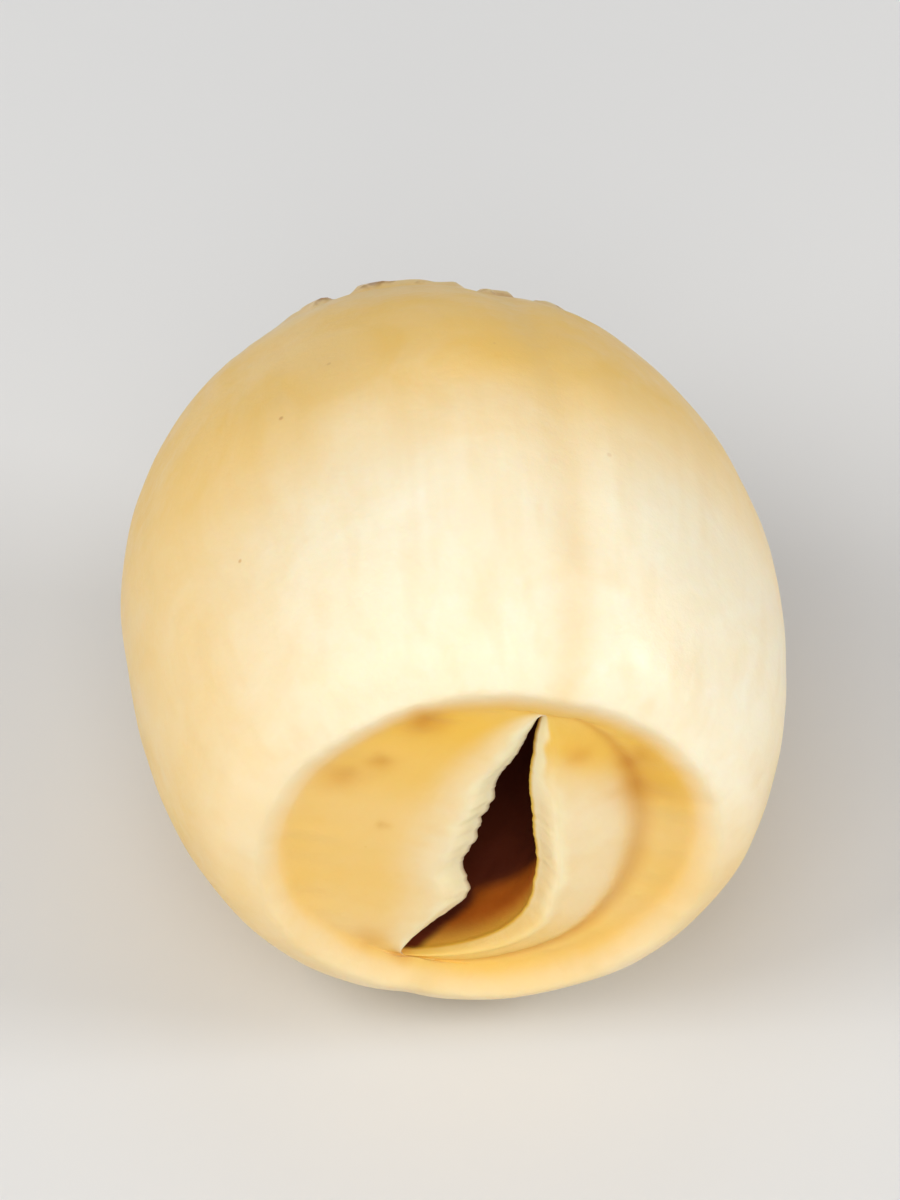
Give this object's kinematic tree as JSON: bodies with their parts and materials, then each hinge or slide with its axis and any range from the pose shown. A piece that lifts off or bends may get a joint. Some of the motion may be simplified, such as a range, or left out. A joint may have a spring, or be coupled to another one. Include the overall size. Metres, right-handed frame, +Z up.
{
  "type": "lotus seed",
  "caption": "Dried white lotus seed with its core pushed out: a barrel of flesh with a split mouth, a hollow and a round core hole, lying on its side.",
  "frame": {"origin": "under the middle of the seed, on the surface that it rests on", "axes": "+Z up; the seed's own axis lies along Y, with the split mouth towards -Y and the round core hole towards +Y; +X to the right of someone who looks at the mouth"},
  "size_m": [0.013, 0.0128, 0.0122],
  "materials": {
    "flesh": "satin"
  },
  "bodies": {
    "root": {"seed": "flesh"}
  },
  "joints": []
}
